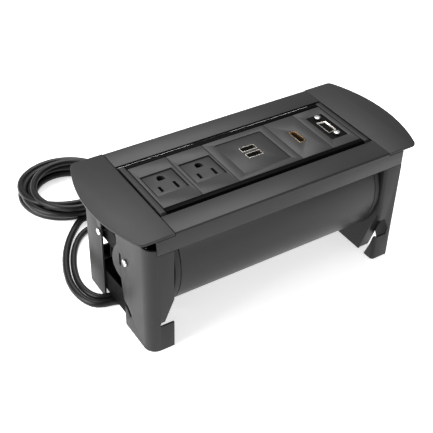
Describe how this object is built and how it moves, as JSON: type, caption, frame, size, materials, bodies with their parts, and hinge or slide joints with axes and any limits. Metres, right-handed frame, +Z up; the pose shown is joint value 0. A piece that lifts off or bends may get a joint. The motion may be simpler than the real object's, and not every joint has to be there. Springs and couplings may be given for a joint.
{
  "type": "desk power strip",
  "caption": "Desk-mounted rotating power box: flush black frame, a drum that turns half a turn with outlets, charging and video ports, two black cords.",
  "frame": {"origin": "middle of the underside of the feet, on the surface the box stands on", "axes": "+X along the drum to its right end, +Y to the rear, +Z up"},
  "size_m": [0.2945, 0.2528, 0.1087],
  "materials": {
    "powder_coat": "fine satin black powder coat",
    "black_anodised": "black anodised extrusion",
    "black_polymer": "fine textured moulded plastic",
    "dark_polymer": "smooth dark moulded plastic",
    "zinc_steel": "zinc plated steel",
    "nickel_shell": "nickel plated connector shell",
    "brass_contact": "bare brass",
    "circuit_board": "green glass-epoxy board",
    "cord_jacket": "satin black PVC jacket",
    "white_acetal": "white acetal bearing plastic"
  },
  "bodies": {
    "frame": {"front_rail": "black_anodised", "rear_rail": "black_anodised", "left_end_cap": "powder_coat", "right_end_cap": "powder_coat", "left_bracket": "powder_coat", "left_end_plate": "powder_coat", "right_bracket": "powder_coat", "left_bearing_bush": "white_acetal", "right_bearing_bush": "white_acetal", "cord_guide": "dark_polymer", "cord_apron": "powder_coat", "front_guide_screw": "zinc_steel", "rear_guide_screw": "zinc_steel", "power_strain_relief": "cord_jacket", "power_cord": "cord_jacket", "power_cord_coil": "cord_jacket", "power_coil_tie": "dark_polymer", "power_cord_tail": "cord_jacket", "power_plug": "dark_polymer", "power_plug_blades": "brass_contact", "signal_strain_relief": "cord_jacket", "signal_cord": "cord_jacket", "signal_cord_coil": "cord_jacket", "signal_coil_tie": "dark_polymer", "signal_cord_tail": "cord_jacket", "signal_plug": "dark_polymer", "signal_plug_nose": "nickel_shell"},
    "drum": {"front_drum_shell": "black_anodised", "rear_drum_shell": "black_anodised", "lid_panel": "black_anodised", "left_end_disc": "black_polymer", "right_end_disc": "black_polymer", "left_retaining_ring": "zinc_steel", "right_retaining_ring": "zinc_steel", "friction_washer": "zinc_steel", "outlet_frame_1": "black_polymer", "outlet_frame_2": "black_polymer", "outlet_face_1": "black_polymer", "outlet_face_2": "black_polymer", "outlet_housing_1": "dark_polymer", "outlet_housing_2": "dark_polymer", "outlet_contacts_1": "brass_contact", "outlet_contacts_2": "brass_contact", "usb_frame": "black_polymer", "usb_face": "black_polymer", "usb_port_block": "dark_polymer", "usb_shell_1": "nickel_shell", "usb_shell_2": "nickel_shell", "usb_charger_board": "circuit_board", "hdmi_plate": "black_polymer", "hdmi_shell": "nickel_shell", "hdmi_tongue": "dark_polymer", "vga_plate": "black_polymer", "vga_bezel": "dark_polymer", "vga_shell": "nickel_shell", "vga_insert": "dark_polymer", "vga_front_jack_screw": "nickel_shell", "vga_rear_jack_screw": "nickel_shell", "terminal_block": "white_acetal", "supply_lead": "cord_jacket"}
  },
  "joints": [
    {"name": "drum_flip", "type": "hinge", "parent": "frame", "child": "drum", "pos_m": [0, 0, 0.0655], "axis": [1, 0, 0], "range_deg": [0, 180]}
  ]
}
